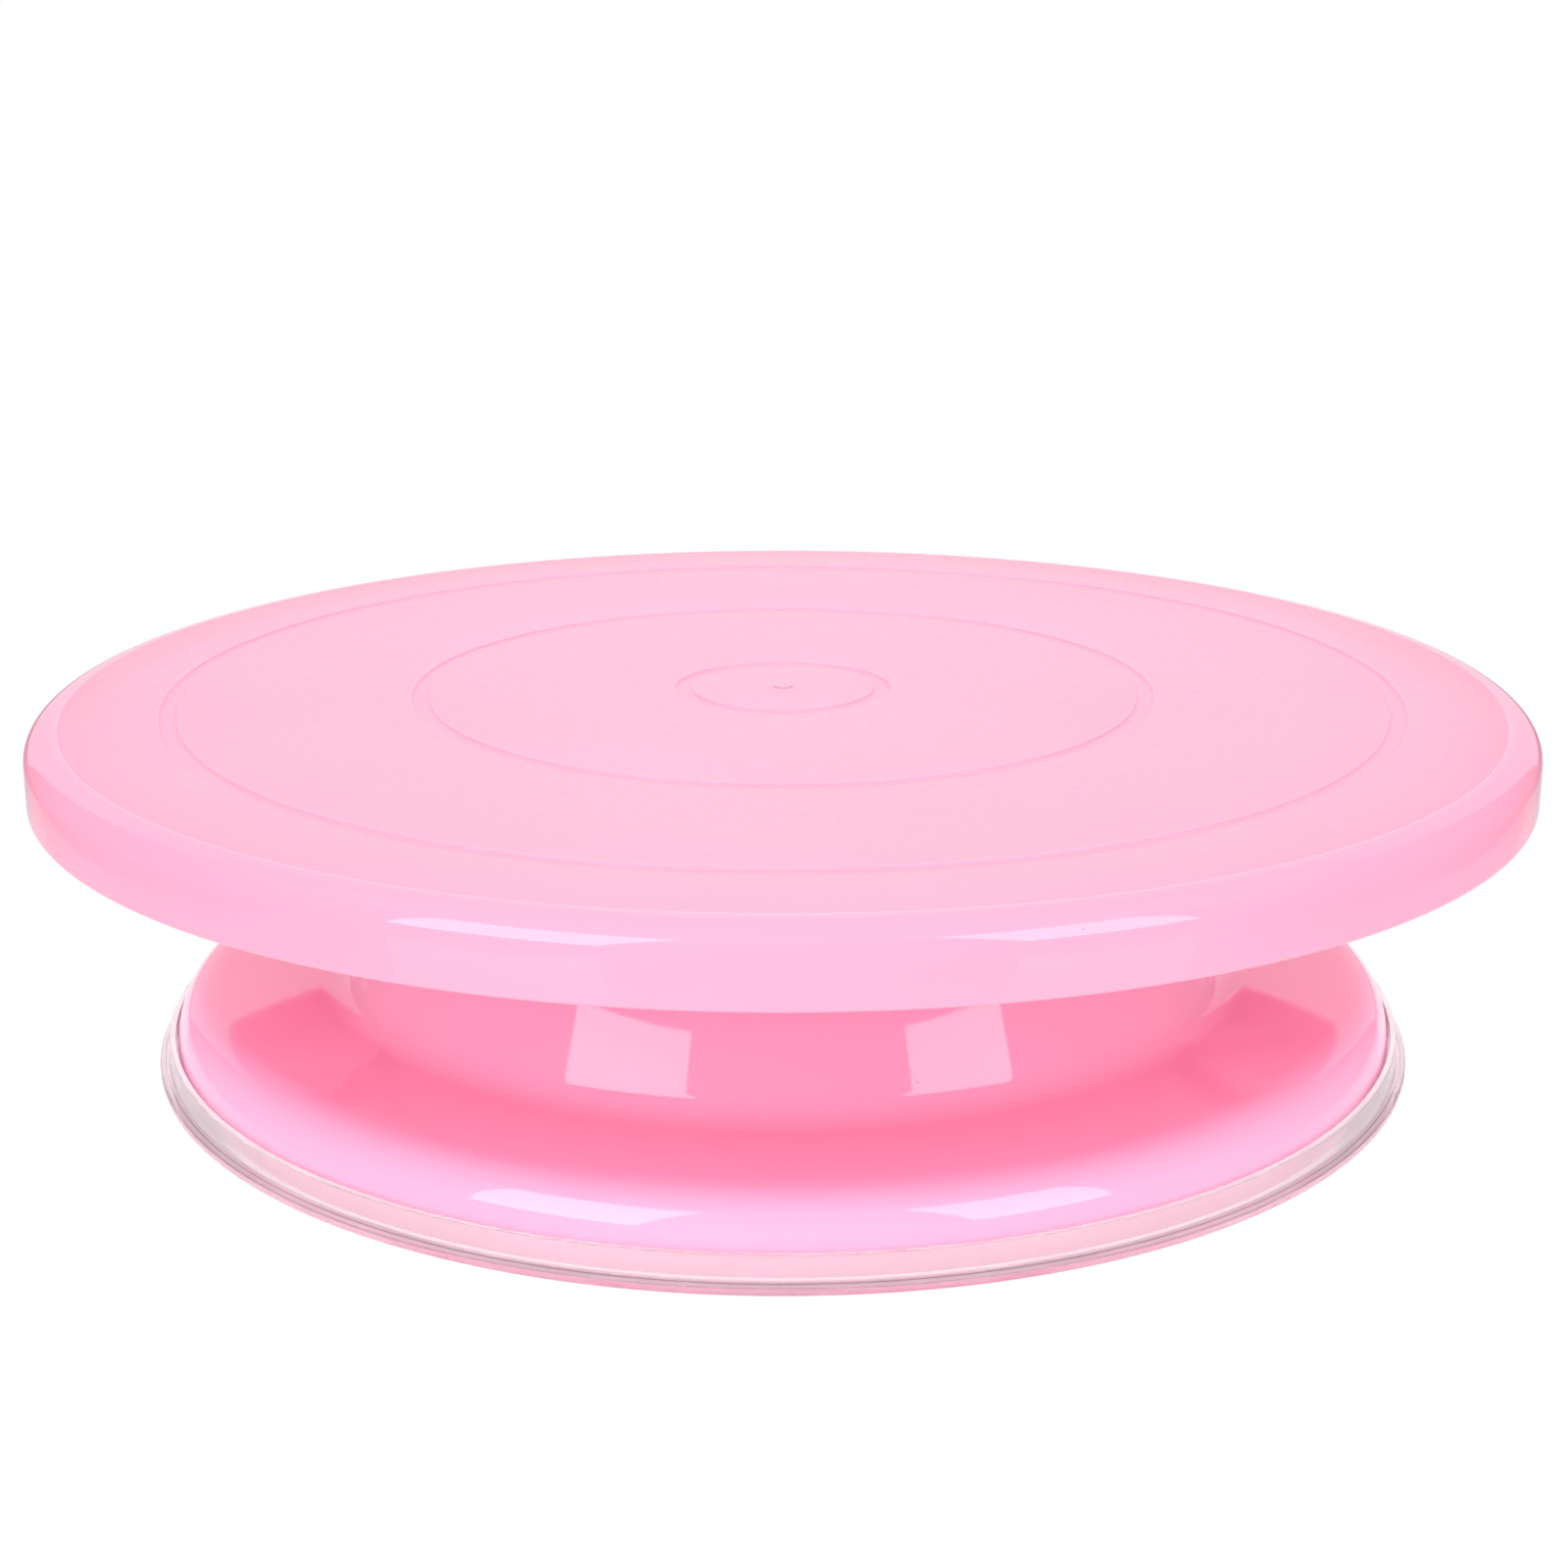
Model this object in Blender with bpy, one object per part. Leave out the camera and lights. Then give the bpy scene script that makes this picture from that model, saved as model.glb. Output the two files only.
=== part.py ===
"""Cake turntable: a round plate spinning on a thrust ball bearing above a moulded pedestal.

Metres, +Z up.  The origin is on the spin axis, on the surface that the turntable stands on.
Each turned piece is an outline of (radius, height) points swept once round the spin axis.
"""
import math

import bmesh
import bpy
from mathutils import Vector

MM = 0.001

# ---------------------------------------------------------------- driving dimensions
PLATE_RADIUS = 140.0 * MM
PLATE_TOP = 67.2 * MM            # height of the flat top above the table
PLATE_THICKNESS = 2.6 * MM
SKIRT_DEPTH = 13.0 * MM          # from the flat top down to the skirt's lower edge
SKIRT_WALL = 2.4 * MM
EDGE_RUN = 6.1 * MM              # the plate's edge is an ellipse: how far in from the skirt
EDGE_DROP = 5.0 * MM             # it starts, and how far below the flat top it ends

GROOVE_OUTER_RADII = (20.5 * MM, 70.1 * MM, 116.2 * MM)
GROOVE_WIDTH = 3.3 * MM
GROOVE_DEPTH = 0.45 * MM
PIP_RADIUS = 1.9 * MM            # gate mark at the centre, tapering to its top
PIP_TOP_RADIUS = 1.6 * MM
PIP_HEIGHT = 0.3 * MM

DECK_TOP = 54.0 * MM             # top of the pedestal's drum, under the plate
DRUM_TOP_RADIUS = 69.4 * MM
DRUM_FOOT_RADIUS = 85.1 * MM     # where the drum's slope would meet the flange
FLANGE_TOP = 14.0 * MM
FLANGE_RADIUS = 116.4 * MM
RIM_START_RADIUS = 106.3 * MM    # the flange's flat floor ends here
RIM_SPRING = 2.0 * MM            # height where the rim's curve becomes vertical
RIM_POWER = 2.6                  # superellipse power of the rim's curve
SHELL_WALL = 2.4 * MM
SHELL_BOTTOM = 1.5 * MM
FOOT_INNER_ROUND = 7.0 * MM      # roundings inside the shell: at its foot, and inside the drum
DRUM_INNER_ROUND = 2.0 * MM

RING_RADIUS = 119.8 * MM         # anti-slip ring, at its foot
RING_HEIGHT = 5.9 * MM
RING_WEB = 1.2 * MM              # thickness under the shell's edge

BALL_COUNT = 16
BALL_RADIUS = 3.0 * MM
BALL_PITCH_RADIUS = 32.0 * MM
RACE_HALF_WIDTH = 6.0 * MM
RACE_THICKNESS = 1.5 * MM
RACE_GROOVE_DEPTH = 0.7 * MM
LIP_GRIP = 1.1 * MM              # how much of the upper race's edge the plate's lip holds
RETAINER_HALF_WIDTH = 4.6 * MM
RETAINER_THICKNESS = 2.4 * MM

HUB_RADIUS = 9.0 * MM
HUB_BOTTOM = 41.7 * MM
BUSH_WALL = 2.0 * MM
BOSS_WALL = 4.0 * MM             # wall round the pedestal's bore
SCREW_RADIUS = 2.0 * MM
HUB_PROUD = 0.5 * MM             # the hub's end stands below the bore's boss, so the plate can turn
WASHER_RADIUS = 14.0 * MM
WASHER_THICKNESS = 1.5 * MM

PLATE_SPOKES = 12                # stiffening ribs under the plate
PLATE_RING_RIBS = (105.0 * MM, 72.0 * MM)   # radii of the round ribs that the spokes cross
PLATE_RIB_WIDTH = 1.6 * MM
RING_RIB_DEPTH = 4.5 * MM
SPOKE_DEPTH = 4.0 * MM
BASE_SPOKES = 8                  # ribs under the pedestal's deck
BASE_GUSSETS = 16                # ribs under the flange

GAP = 0.3 * MM                   # clearance between pieces that touch
BITE = 0.4 * MM                  # how far a rib runs into the walls that it joins
LARGE_SEGMENTS = 48              # facets round the plate, the shell and the ring
SMALL_SEGMENTS = 32              # facets round the pieces near the axis
ARC_STEPS = 4
MID_FACET_DEG = 180.0 / LARGE_SEGMENTS   # turns ribs to the middles of facets
SHARP_ANGLE = math.radians(30.0)

# ---------------------------------------------------------------- heights of the bearing stack
RECESS_DEPTH = 3.0 * MM
RACE_SEAT = DECK_TOP - RECESS_DEPTH
LOWER_RACE_TOP = RACE_SEAT + GAP + RACE_THICKNESS
BALL_HEIGHT = LOWER_RACE_TOP - RACE_GROOVE_DEPTH + GAP + BALL_RADIUS
UPPER_RACE_BOTTOM = BALL_HEIGHT + BALL_RADIUS + GAP - RACE_GROOVE_DEPTH
UPPER_RACE_TOP = UPPER_RACE_BOTTOM + RACE_THICKNESS
RACE_INNER = BALL_PITCH_RADIUS - RACE_HALF_WIDTH
RACE_OUTER = BALL_PITCH_RADIUS + RACE_HALF_WIDTH
PLATE_UNDERSIDE = PLATE_TOP - PLATE_THICKNESS
SKIRT_BOTTOM = PLATE_TOP - SKIRT_DEPTH
BUSH_INNER = HUB_RADIUS + GAP
BUSH_OUTER = BUSH_INNER + BUSH_WALL
BORE_RADIUS = BUSH_OUTER + GAP
BOSS_BOTTOM = HUB_BOTTOM + HUB_PROUD
WASHER_TOP = HUB_BOTTOM - GAP


# ---------------------------------------------------------------- outlines
def arc(centre_r, centre_z, radius, start_deg, end_deg, steps=ARC_STEPS):
    """Points of a circular arc; 0 degrees is outwards, 90 degrees is up."""
    points = []
    for step in range(steps + 1):
        angle = math.radians(start_deg + (end_deg - start_deg) * step / steps)
        points.append((centre_r + radius * math.cos(angle), centre_z + radius * math.sin(angle)))
    return points


def rounded_corner(before, corner, after, radius, steps=ARC_STEPS):
    """Points that replace a corner between two straight runs with a tangent arc."""
    tip = Vector(corner)
    towards_before = (Vector(before) - tip).normalized()
    towards_after = (Vector(after) - tip).normalized()
    half_angle = towards_before.angle(towards_after) / 2.0
    bisector = (towards_before + towards_after).normalized()
    centre = tip + bisector * (radius / math.sin(half_angle))
    reach = radius / math.tan(half_angle)
    first = tip + towards_before * reach - centre
    last = tip + towards_after * reach - centre
    start = math.atan2(first.y, first.x)
    turn = math.atan2(first.cross(last), first.dot(last))
    return arc(centre.x, centre.y, radius, math.degrees(start), math.degrees(start + turn), steps)


def superellipse(centre_r, centre_z, half_width, half_height, power, steps):
    """Quarter outline from straight above the centre, outwards and down, to level with it."""
    points = []
    for step in range(steps + 1):
        angle = math.pi / 2.0 * (1.0 - step / steps)
        across = max(math.cos(angle), 0.0) ** (2.0 / power)
        up = max(math.sin(angle), 0.0) ** (2.0 / power)
        points.append((centre_r + half_width * across, centre_z + half_height * up))
    return points


# ---------------------------------------------------------------- building tools
def clear_scene():
    for obj in list(bpy.data.objects):
        bpy.data.objects.remove(obj, do_unlink=True)


def make_material(name, colour, roughness, metallic=0.0, transmission=0.0):
    material = bpy.data.materials.new(name)
    material.use_nodes = True
    shader = material.node_tree.nodes["Principled BSDF"]
    shader.inputs["Base Color"].default_value = (*colour, 1.0)
    shader.inputs["Roughness"].default_value = roughness
    shader.inputs["Metallic"].default_value = metallic
    shader.inputs["Transmission Weight"].default_value = transmission
    return material


def finish_mesh(mesh, name, material=None):
    """Turn a bmesh into a linked object with smooth rounds and crisp corners."""
    bmesh.ops.recalc_face_normals(mesh, faces=mesh.faces)
    data = bpy.data.meshes.new(name)
    mesh.to_mesh(data)
    mesh.free()
    data.shade_smooth()
    data.set_sharp_from_angle(angle=SHARP_ANGLE)
    obj = bpy.data.objects.new(name, data)
    bpy.context.collection.objects.link(obj)
    if material is not None:
        data.materials.append(material)
    return obj


def turned(name, outline, segments, material, closed=True):
    """Sweep an outline once round the Z axis; an open outline starts and ends on the axis."""
    mesh = bmesh.new()
    verts = [mesh.verts.new((radius, 0.0, height)) for radius, height in outline]
    pairs = list(zip(verts, verts[1:]))
    if closed:
        pairs.append((verts[-1], verts[0]))
    edges = [mesh.edges.new(pair) for pair in pairs]
    bmesh.ops.spin(mesh, geom=verts + edges, cent=(0, 0, 0), axis=(0, 0, 1),
                   angle=math.tau, steps=segments, use_merge=True)
    bmesh.ops.remove_doubles(mesh, verts=mesh.verts, dist=0.001 * MM)
    return finish_mesh(mesh, name, material)


def spoke_tool(name, count, inner, outer, bottom, top, thickness, phase_deg=0.0):
    """A ring of radial ribs for a Boolean; inner and outer are (reach low down, reach high up)."""
    mesh = bmesh.new()
    for index in range(count):
        angle = math.radians(phase_deg) + math.tau * index / count
        along = Vector((math.cos(angle), math.sin(angle), 0.0))
        across = Vector((-along.y, along.x, 0.0)) * thickness / 2.0
        corners = []
        for level, height in enumerate((bottom, top)):
            lift = Vector((0.0, 0.0, height))
            for reach, side in ((inner, -1), (outer, -1), (outer, 1), (inner, 1)):
                corners.append(mesh.verts.new(along * reach[level] + across * side + lift))
        for face in ((0, 3, 2, 1), (4, 5, 6, 7), (0, 1, 5, 4), (1, 2, 6, 5), (2, 3, 7, 6), (3, 0, 4, 7)):
            mesh.faces.new([corners[corner] for corner in face])
    return as_tool(finish_mesh(mesh, name))


def as_tool(obj):
    """Mark an object that only shapes another one."""
    obj.hide_render = True
    obj.display_type = 'WIRE'
    return obj


def combine(obj, tool, operation):
    boolean = obj.modifiers.new(tool.name, 'BOOLEAN')
    boolean.operation = operation
    boolean.solver = 'EXACT'
    boolean.object = tool


# ---------------------------------------------------------------- the plate and what turns with it
def plate_top_outline():
    """Gate mark and guide grooves, from the axis to where the edge starts to round."""
    points = [(0.0, PLATE_TOP + PIP_HEIGHT), (PIP_TOP_RADIUS, PLATE_TOP + PIP_HEIGHT)]
    points.append((PIP_RADIUS, PLATE_TOP))
    for outer in GROOVE_OUTER_RADII:
        inner = outer - GROOVE_WIDTH
        floor = PLATE_TOP - GROOVE_DEPTH
        points += [(inner, PLATE_TOP), (inner, floor), (outer, floor), (outer, PLATE_TOP)]
    return points


def plate_edge_outline():
    """Rounded edge, skirt, and back up inside the skirt to the underside."""
    lip = SKIRT_WALL / 2.0
    inner_wall = PLATE_RADIUS - SKIRT_WALL
    inside_corner = (inner_wall, PLATE_UNDERSIDE)
    points = superellipse(PLATE_RADIUS - EDGE_RUN, PLATE_TOP - EDGE_DROP, EDGE_RUN, EDGE_DROP,
                          2.0, ARC_STEPS + 2)
    points += [(PLATE_RADIUS, SKIRT_BOTTOM + lip / 2.0), (PLATE_RADIUS - lip / 2.0, SKIRT_BOTTOM)]
    points.append((inner_wall, SKIRT_BOTTOM))
    points += rounded_corner((inner_wall, SKIRT_BOTTOM), inside_corner, (0.0, PLATE_UNDERSIDE),
                             EDGE_DROP - SKIRT_WALL)
    return points


def ring_rib_outline(radius, bottom):
    """A ring rib hanging from the plate's underside, met from outside going in."""
    outer = radius + PLATE_RIB_WIDTH / 2.0
    inner = radius - PLATE_RIB_WIDTH / 2.0
    return [(outer, PLATE_UNDERSIDE), (outer, bottom), (inner, bottom), (inner, PLATE_UNDERSIDE)]


def plate_boss_outline():
    """Seat for the upper race: an outer wall with a locating lip, and an inner wall."""
    seat = UPPER_RACE_TOP + GAP
    lip_inner = RACE_OUTER + GAP
    lip_outer = lip_inner + SKIRT_WALL
    lip_bottom = UPPER_RACE_TOP - LIP_GRIP
    wall = 3.0 * MM
    points = [(lip_outer, PLATE_UNDERSIDE), (lip_outer, lip_bottom), (lip_inner, lip_bottom)]
    points += [(lip_inner, seat), (RACE_OUTER - wall, seat), (RACE_OUTER - wall, PLATE_UNDERSIDE)]
    points += [(RACE_INNER + wall, PLATE_UNDERSIDE), (RACE_INNER + wall, seat)]
    points += [(RACE_INNER, seat), (RACE_INNER, PLATE_UNDERSIDE)]
    return points


def plate_hub_outline():
    """Hollow hub with the screw's boss inside it, ending at the top of the pilot hole."""
    tube_inner = HUB_RADIUS - SKIRT_WALL
    boss_radius = 4.4 * MM
    pilot_radius = SCREW_RADIUS + GAP
    pilot_top = 57.0 * MM
    core_top = PLATE_UNDERSIDE - PLATE_THICKNESS
    points = [(HUB_RADIUS, PLATE_UNDERSIDE), (HUB_RADIUS, HUB_BOTTOM), (tube_inner, HUB_BOTTOM)]
    points += [(tube_inner, core_top), (boss_radius, core_top), (boss_radius, HUB_BOTTOM)]
    points += [(pilot_radius, HUB_BOTTOM), (pilot_radius, pilot_top), (0.0, pilot_top)]
    return points


def make_turntable_plate(material):
    """The plate moulding with its guide grooves, ring ribs, spokes, bearing boss and hub."""
    ring_rib_bottom = PLATE_UNDERSIDE - RING_RIB_DEPTH
    spoke_bottom = PLATE_UNDERSIDE - SPOKE_DEPTH
    boss_reach = RACE_OUTER + GAP + SKIRT_WALL - BITE
    skirt_reach = PLATE_RADIUS - SKIRT_WALL + BITE
    outline = plate_top_outline() + plate_edge_outline()
    for radius in PLATE_RING_RIBS:
        outline += ring_rib_outline(radius, ring_rib_bottom)
    outline += plate_boss_outline() + plate_hub_outline()
    plate = turned("turntable_plate", outline, LARGE_SEGMENTS, material, closed=False)
    spokes = spoke_tool("plate_spokes_tool", PLATE_SPOKES, (boss_reach, boss_reach),
                        (skirt_reach, skirt_reach - BITE), spoke_bottom, PLATE_UNDERSIDE + BITE,
                        PLATE_RIB_WIDTH, MID_FACET_DEG)
    combine(plate, spokes, 'UNION')
    return plate


def race_outline(back, face, direction):
    """A flat race with a ball groove; direction is +1 where the groove faces up."""
    groove_radius = BALL_RADIUS + GAP
    rise = groove_radius - RACE_GROOVE_DEPTH
    half_chord_deg = math.degrees(math.acos(rise / groove_radius))
    middle_deg = -90.0 * direction
    groove = arc(BALL_PITCH_RADIUS, BALL_HEIGHT, groove_radius,
                 middle_deg - half_chord_deg, middle_deg + half_chord_deg, ARC_STEPS)
    if direction < 0:
        groove.reverse()
    return [(RACE_INNER, back), (RACE_INNER, face), *groove, (RACE_OUTER, face), (RACE_OUTER, back)]


def make_upper_race(material):
    outline = race_outline(UPPER_RACE_TOP, UPPER_RACE_BOTTOM, -1)
    return turned("upper_race", outline, SMALL_SEGMENTS, material)


def make_retaining_washer(material):
    hole = SCREW_RADIUS + GAP
    bottom = WASHER_TOP - WASHER_THICKNESS
    outline = [(hole, WASHER_TOP), (WASHER_RADIUS, WASHER_TOP), (WASHER_RADIUS, bottom), (hole, bottom)]
    return turned("retaining_washer", outline, SMALL_SEGMENTS, material)


def make_retaining_screw(material):
    """Pan-head screw with a cross recess in its head."""
    head_top = WASHER_TOP - WASHER_THICKNESS - GAP
    head_radius = 4.6 * MM
    head_height = 2.8 * MM
    head_bottom = head_top - head_height
    shank_top = 53.0 * MM
    head_round = 2.0 * MM
    point_length = 1.6 * MM
    point_radius = 0.6 * MM
    recess_depth = 1.5 * MM
    recess_reach = 2.3 * MM
    recess_width = 1.0 * MM
    outline = [(0.0, shank_top), (point_radius, shank_top)]
    outline += [(SCREW_RADIUS, shank_top - point_length), (SCREW_RADIUS, head_top)]
    outline.append((head_radius, head_top))
    outline += arc(head_radius - head_round, head_bottom + head_round, head_round, 0, -90)
    outline.append((0.0, head_bottom))
    screw = turned("retaining_screw", outline, SMALL_SEGMENTS // 2, material, closed=False)
    for index, phase_deg in enumerate((0.0, 90.0)):
        slot = spoke_tool("screw_slot_tool_%d" % index, 1, (-recess_reach, -recess_reach),
                          (recess_reach, recess_reach), head_bottom - recess_depth,
                          head_bottom + recess_depth, recess_width, phase_deg)
        combine(screw, slot, 'DIFFERENCE')
    return screw


# ---------------------------------------------------------------- the ball cage
def make_ball_retainer(material):
    bottom = BALL_HEIGHT - RETAINER_THICKNESS / 2.0
    top = BALL_HEIGHT + RETAINER_THICKNESS / 2.0
    inner = BALL_PITCH_RADIUS - RETAINER_HALF_WIDTH
    outer = BALL_PITCH_RADIUS + RETAINER_HALF_WIDTH
    outline = [(inner, top), (outer, top), (outer, bottom), (inner, bottom)]
    retainer = turned("ball_retainer", outline, SMALL_SEGMENTS, material)
    combine(retainer, make_pocket_tool(), 'DIFFERENCE')
    return retainer


def make_pocket_tool():
    """Upright cylinders that cut the retainer's ball pockets."""
    pocket_sides = 12
    depth = 2.0 * (RETAINER_THICKNESS + BALL_RADIUS)
    clearance = GAP / math.cos(math.pi / pocket_sides)
    mesh = bmesh.new()
    for place in ball_places():
        made = bmesh.ops.create_cone(mesh, cap_ends=True, segments=pocket_sides,
                                     radius1=BALL_RADIUS + clearance, radius2=BALL_RADIUS + clearance,
                                     depth=depth)
        bmesh.ops.translate(mesh, verts=made["verts"], vec=place)
    return as_tool(finish_mesh(mesh, "ball_pocket_tool"))


def ball_places():
    places = []
    for index in range(BALL_COUNT):
        angle = math.tau * index / BALL_COUNT
        x = BALL_PITCH_RADIUS * math.cos(angle)
        y = BALL_PITCH_RADIUS * math.sin(angle)
        places.append(Vector((x, y, BALL_HEIGHT)))
    return places


def make_balls(material, cage):
    """One ball for each pocket; every ball's origin is its centre, which it rolls about."""
    mesh = bmesh.new()
    bmesh.ops.create_icosphere(mesh, subdivisions=2, radius=BALL_RADIUS)
    first = finish_mesh(mesh, "ball_01", material)
    balls = [first]
    for number in range(2, BALL_COUNT + 1):
        ball = bpy.data.objects.new("ball_%02d" % number, first.data)
        bpy.context.collection.objects.link(ball)
        balls.append(ball)
    for index, (ball, place) in enumerate(zip(balls, ball_places())):
        ball.location = place
        ball.rotation_euler.z = math.tau * index / BALL_COUNT
        ball.parent = cage
    return balls


# ---------------------------------------------------------------- the pedestal and what stands still
def deck_outline():
    """The deck from the bore to the drum's top edge, with the lower race's recess."""
    recess_inner = RACE_INNER - GAP
    recess_outer = RACE_OUTER + GAP
    points = [(BORE_RADIUS, DECK_TOP), (recess_inner, DECK_TOP), (recess_inner, RACE_SEAT)]
    points += [(recess_outer, RACE_SEAT), (recess_outer, DECK_TOP)]
    return points


def drum_and_flange_outline():
    """The drum's shoulder, slope and foot, the flange and its rolled rim."""
    shoulder = (DRUM_TOP_RADIUS, DECK_TOP)
    foot = (DRUM_FOOT_RADIUS, FLANGE_TOP)
    shoulder_round = 3.0 * MM
    foot_round = 6.3 * MM
    points = rounded_corner((0.0, DECK_TOP), shoulder, foot, shoulder_round)
    points += rounded_corner(shoulder, foot, (RIM_START_RADIUS, FLANGE_TOP), foot_round)
    points += superellipse(RIM_START_RADIUS, RIM_SPRING, FLANGE_RADIUS - RIM_START_RADIUS,
                           FLANGE_TOP - RIM_SPRING, RIM_POWER, 2 * ARC_STEPS)
    points.append((FLANGE_RADIUS, SHELL_BOTTOM))
    return points


def shell_inside_outline():
    """From the foot's inner edge, up under the flange, up inside the drum, to the bore's boss."""
    flange_under = FLANGE_TOP - SHELL_WALL
    deck_under = DECK_TOP - SHELL_WALL
    seat_under = RACE_SEAT - SHELL_WALL
    foot_inner = FLANGE_RADIUS - SHELL_WALL
    foot_corner = (foot_inner, flange_under)
    drum_low = (drum_radius(flange_under) - SHELL_WALL, flange_under)
    drum_high = (drum_radius(deck_under) - SHELL_WALL, deck_under)
    seat_wall = RACE_OUTER + GAP + SHELL_WALL
    boss_outer = BORE_RADIUS + BOSS_WALL
    points = [(foot_inner, SHELL_BOTTOM)]
    points += rounded_corner((foot_inner, SHELL_BOTTOM), foot_corner, drum_low,
                             FOOT_INNER_ROUND)
    points += rounded_corner(foot_corner, drum_low, drum_high, DRUM_INNER_ROUND)
    points += rounded_corner(drum_low, drum_high, (seat_wall, deck_under), DRUM_INNER_ROUND)
    points += [(seat_wall, deck_under), (seat_wall, seat_under), (boss_outer, seat_under)]
    points += [(boss_outer, BOSS_BOTTOM), (BORE_RADIUS, BOSS_BOTTOM)]
    return points


def drum_radius(height):
    """Outer radius of the drum's slope at a height."""
    slope = (DRUM_FOOT_RADIUS - DRUM_TOP_RADIUS) / (DECK_TOP - FLANGE_TOP)
    return DRUM_FOOT_RADIUS - slope * (height - FLANGE_TOP)


def make_base_shell(material):
    """The pedestal moulding, stiffened by ribs under its deck and gussets under its flange."""
    rib_thickness = 1.8 * MM
    rib_bottom = BOSS_BOTTOM + 1.0 * MM
    rib_top = DECK_TOP - SHELL_WALL + BITE
    boss_reach = BORE_RADIUS + BOSS_WALL - BITE
    seat_wall_middle = RACE_OUTER + GAP + SHELL_WALL / 2.0
    wall_reach = BITE - SHELL_WALL
    gusset_overlap = 6.5 * MM    # how far out under the rim's curve a gusset's top runs
    gusset_inner = DRUM_FOOT_RADIUS + wall_reach
    gusset_outer = (FLANGE_RADIUS + wall_reach, RIM_START_RADIUS + gusset_overlap)
    outline = deck_outline() + drum_and_flange_outline() + shell_inside_outline()
    shell = turned("base_shell", outline, LARGE_SEGMENTS, material)
    seat_ribs = spoke_tool("seat_ribs_tool", BASE_SPOKES, (boss_reach, boss_reach),
                           (seat_wall_middle + BITE, seat_wall_middle + BITE),
                           rib_bottom, RACE_SEAT - BITE, rib_thickness, MID_FACET_DEG)
    deck_ribs = spoke_tool("deck_ribs_tool", BASE_SPOKES,
                           (seat_wall_middle - BITE, seat_wall_middle - BITE),
                           (drum_radius(rib_bottom) + wall_reach, drum_radius(rib_top) + wall_reach),
                           rib_bottom - BITE, rib_top, rib_thickness + BITE, MID_FACET_DEG)
    gussets = spoke_tool("flange_gussets_tool", BASE_GUSSETS, (gusset_inner, gusset_inner),
                         gusset_outer, SHELL_BOTTOM + 5.0 * MM, FLANGE_TOP - SHELL_WALL + BITE,
                         rib_thickness, MID_FACET_DEG)
    for ribs in (seat_ribs, deck_ribs, gussets):
        combine(shell, ribs, 'UNION')
    return shell


def make_anti_slip_ring(material):
    """Soft channel round the shell's edge, with a bead at its foot."""
    outer_channel = FLANGE_RADIUS + GAP
    inner_channel = FLANGE_RADIUS - SHELL_WALL - GAP
    inner_face = inner_channel - 1.3 * MM
    inner_height = 4.5 * MM
    crease_radius = RING_RADIUS - 1.5 * MM
    crease_height = 1.7 * MM
    top_radius = RING_RADIUS - 1.9 * MM
    bead_height = 1.2 * MM
    bead_round = 0.4 * MM
    lip_round = 0.45 * MM
    outline = [(outer_channel, RING_HEIGHT)]
    outline += [(top_radius - lip_round, RING_HEIGHT), (top_radius, RING_HEIGHT - lip_round)]
    outline += [(crease_radius, crease_height), (RING_RADIUS - bead_round, bead_height)]
    outline += [(RING_RADIUS, bead_height - bead_round), (RING_RADIUS, bead_round)]
    outline += [(RING_RADIUS - bead_round, 0.0), (inner_face, 0.0), (inner_face, inner_height)]
    outline += [(inner_channel, inner_height), (inner_channel, RING_WEB), (outer_channel, RING_WEB)]
    return turned("anti_slip_ring", outline, LARGE_SEGMENTS, material)


def make_lower_race(material):
    outline = race_outline(RACE_SEAT + GAP, LOWER_RACE_TOP, 1)
    return turned("lower_race", outline, SMALL_SEGMENTS, material)


def make_hub_bush(material):
    flange_radius = 15.0 * MM
    flange_bottom = DECK_TOP + GAP
    flange_top = flange_bottom + 1.6 * MM
    outline = [(BUSH_INNER, flange_top), (flange_radius, flange_top), (flange_radius, flange_bottom)]
    outline += [(BUSH_OUTER, flange_bottom), (BUSH_OUTER, BOSS_BOTTOM), (BUSH_INNER, BOSS_BOTTOM)]
    return turned("hub_bush", outline, SMALL_SEGMENTS, material)


# ---------------------------------------------------------------- assembly
def make_axis_empty(name, height):
    """Empty on the spin axis; what hangs from it turns about its Z axis."""
    empty = bpy.data.objects.new(name, None)
    empty.location.z = height
    bpy.context.collection.objects.link(empty)
    return empty


def hang(parent, pieces):
    """Parent pieces and keep them where they are."""
    for piece in pieces:
        piece.parent = parent
        piece.matrix_parent_inverse = parent.matrix_world.inverted()


def build():
    clear_scene()
    plate_pink = make_material("plate_pink", (0.98, 0.58, 0.75), 0.38)
    base_pink = make_material("base_pink", (0.98, 0.33, 0.55), 0.15)
    clear_soft = make_material("clear_soft_plastic", (0.92, 0.90, 0.91), 0.12, transmission=0.9)
    race_steel = make_material("race_steel", (0.62, 0.62, 0.63), 0.28, metallic=1.0)
    ball_steel = make_material("ball_steel", (0.75, 0.75, 0.77), 0.08, metallic=1.0)
    zinc_steel = make_material("zinc_plated_steel", (0.70, 0.71, 0.72), 0.35, metallic=1.0)
    cage_plastic = make_material("cage_plastic", (0.85, 0.85, 0.82), 0.45)
    bush_plastic = make_material("bush_acetal", (0.90, 0.89, 0.86), 0.35)

    plate_axis = make_axis_empty("plate_axis", BALL_HEIGHT)
    cage_axis = make_axis_empty("cage_axis", BALL_HEIGHT)
    bpy.context.view_layer.update()

    hang(plate_axis, [make_turntable_plate(plate_pink), make_upper_race(race_steel),
                      make_retaining_washer(zinc_steel), make_retaining_screw(zinc_steel)])
    retainer = make_ball_retainer(cage_plastic)
    hang(cage_axis, [retainer])
    make_balls(ball_steel, retainer)
    make_base_shell(base_pink)
    make_anti_slip_ring(clear_soft)
    make_lower_race(race_steel)
    make_hub_bush(bush_plastic)


build()
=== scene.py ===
import math

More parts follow.
